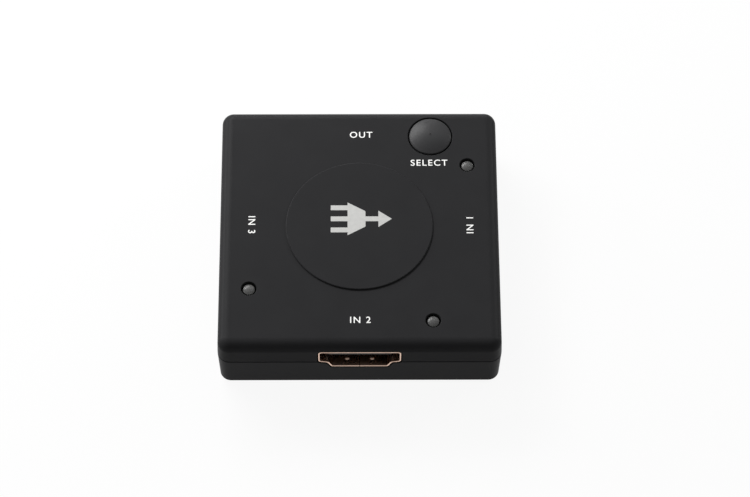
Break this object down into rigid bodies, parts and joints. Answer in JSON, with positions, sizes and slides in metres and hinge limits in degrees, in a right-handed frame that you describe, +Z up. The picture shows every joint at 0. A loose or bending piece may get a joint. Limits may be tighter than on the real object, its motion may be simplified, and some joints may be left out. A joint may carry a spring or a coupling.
{
  "type": "hdmi switch box",
  "caption": "Low square box with a video socket in each side, a domed selection button, indicator lights and a raised disc on its rounded top.",
  "frame": {"origin": "centre of the footprint, on the surface that the feet stand on", "axes": "+Z up, -Y towards the front, which has the second input; +X towards the first input"},
  "size_m": [0.05, 0.0494, 0.0143],
  "materials": {
    "case_plastic": "moulded black plastic with a fine matt coating",
    "button_plastic": "smooth satin black moulding",
    "foot_rubber": "soft black rubber",
    "screw_steel": "black zinc plated steel",
    "board_laminate": "green solder resist on glass laminate",
    "dark_plastic": "moulded black plastic",
    "socket_plastic": "moulded black high-temperature plastic",
    "chip_plastic": "moulded chip resin",
    "plated_steel": "nickel plated sheet steel",
    "tinned_metal": "tinned copper alloy",
    "gold_plating": "gold plated sheet metal",
    "contact_gold": "gold plated contacts",
    "lamp_epoxy": "clear cast epoxy",
    "resistor_body": "dark glaze on ceramic",
    "capacitor_body": "tan fired ceramic"
  },
  "bodies": {
    "case": {"bottom_cover": "case_plastic", "capacitors": "capacitor_body", "case_screws": "screw_steel", "circuit_board": "board_laminate", "control_chip": "chip_plastic", "control_chip_leads": "tinned_metal", "crystal": "plated_steel", "foot_back_left": "foot_rubber", "foot_back_right": "foot_rubber", "foot_front_left": "foot_rubber", "foot_front_right": "foot_rubber", "input_1_contacts": "contact_gold", "input_1_insulator": "socket_plastic", "input_1_shell": "gold_plating", "input_2_contacts": "contact_gold", "input_2_insulator": "socket_plastic", "input_2_shell": "gold_plating", "input_3_contacts": "contact_gold", "input_3_insulator": "socket_plastic", "input_3_shell": "gold_plating", "lamp_1_leads": "tinned_metal", "lamp_1_lens": "lamp_epoxy", "lamp_2_leads": "tinned_metal", "lamp_2_lens": "lamp_epoxy", "lamp_3_leads": "tinned_metal", "lamp_3_lens": "lamp_epoxy", "output_contacts": "contact_gold", "output_insulator": "socket_plastic", "output_shell": "gold_plating", "resistors": "resistor_body", "selector_chip": "chip_plastic", "selector_chip_leads": "tinned_metal", "switch_base": "dark_plastic", "switch_dome": "plated_steel", "switch_frame": "plated_steel", "switch_legs": "plated_steel", "top_cover": "case_plastic", "voltage_regulator": "chip_plastic"},
    "button": {"selection_button": "button_plastic", "switch_plunger": "dark_plastic"}
  },
  "joints": [
    {"name": "button_press", "type": "slide", "parent": "case", "child": "button", "axis": [0, 0, -1], "range_m": [0, 0.00025], "stiffness_N_per_m": 5000, "springref_m": -0.00005, "deforming": ["switch_dome"]}
  ]
}
